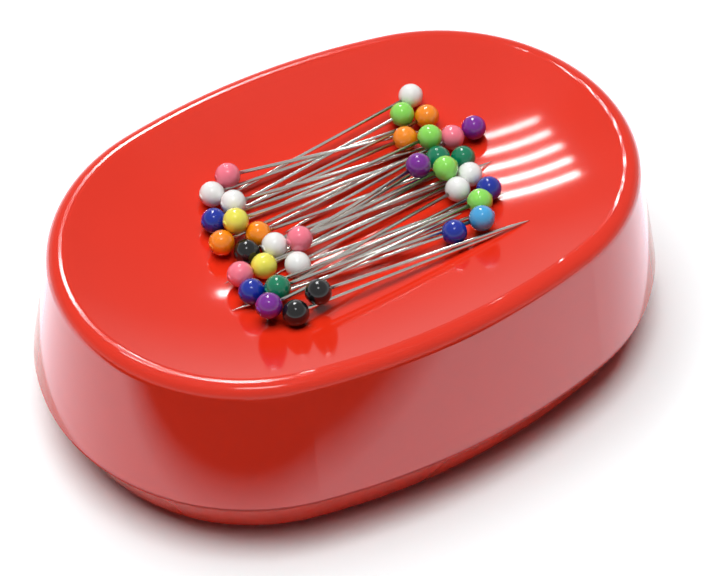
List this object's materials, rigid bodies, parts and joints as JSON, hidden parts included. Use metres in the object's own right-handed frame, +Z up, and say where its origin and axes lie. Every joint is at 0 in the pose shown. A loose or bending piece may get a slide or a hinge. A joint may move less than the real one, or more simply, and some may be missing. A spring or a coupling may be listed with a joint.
{
  "type": "magnetic pin bowl",
  "caption": "Oval red plastic magnetic bowl with a shallow dished top on a tapered base, holding loose ball-headed sewing pins",
  "frame": {"origin": "on the table at the bottom centre of the bowl, between the rubber feet", "axes": "+Z up out of the dish, +X along the bowl's length; with +Z up and the viewer on the -Y side, +X points right"},
  "size_m": [0.1098, 0.078, 0.0332],
  "materials": {
    "red_shell": "polished moulded red",
    "ferrite": "dark ground ferrite",
    "keeper_steel": "rolled sheet steel",
    "screw_steel": "zinc plated",
    "foot_rubber": "matt black",
    "pin_steel": "nickel plated",
    "head_black": "glossy moulded",
    "head_white": "glossy moulded",
    "head_yellow": "glossy moulded",
    "head_blue": "glossy moulded",
    "head_lime": "glossy moulded",
    "head_pink": "glossy moulded"
  },
  "bodies": {
    "bowl": {"upper_shell": "red_shell", "base_cover": "red_shell", "magnet_left": "ferrite", "magnet_right": "ferrite", "keeper_plate": "keeper_steel", "base_screws": "screw_steel", "foot_front_left": "foot_rubber", "foot_front_right": "foot_rubber", "foot_back_left": "foot_rubber", "foot_back_right": "foot_rubber"},
    "pin_black": {"pin_black_shank": "pin_steel", "pin_black_head": "head_black"},
    "pin_white": {"pin_white_shank": "pin_steel", "pin_white_head": "head_white"},
    "pin_yellow": {"pin_yellow_shank": "pin_steel", "pin_yellow_head": "head_yellow"},
    "pin_blue": {"pin_blue_shank": "pin_steel", "pin_blue_head": "head_blue"},
    "pin_lime": {"pin_lime_shank": "pin_steel", "pin_lime_head": "head_lime"},
    "pin_pink": {"pin_pink_shank": "pin_steel", "pin_pink_head": "head_pink"}
  },
  "joints": [
    {"name": "lift_black", "type": "slide", "parent": "bowl", "child": "pin_black", "axis": [0, 0, 1], "range_m": [0, 0.05]},
    {"name": "lift_white", "type": "slide", "parent": "bowl", "child": "pin_white", "axis": [0, 0, 1], "range_m": [0, 0.05]},
    {"name": "lift_yellow", "type": "slide", "parent": "bowl", "child": "pin_yellow", "axis": [0, 0, 1], "range_m": [0, 0.05]},
    {"name": "lift_blue", "type": "slide", "parent": "bowl", "child": "pin_blue", "axis": [0, 0, 1], "range_m": [0, 0.05]},
    {"name": "lift_lime", "type": "slide", "parent": "bowl", "child": "pin_lime", "axis": [0, 0, 1], "range_m": [0, 0.05]},
    {"name": "lift_pink", "type": "slide", "parent": "bowl", "child": "pin_pink", "axis": [0, 0, 1], "range_m": [0, 0.05]}
  ]
}
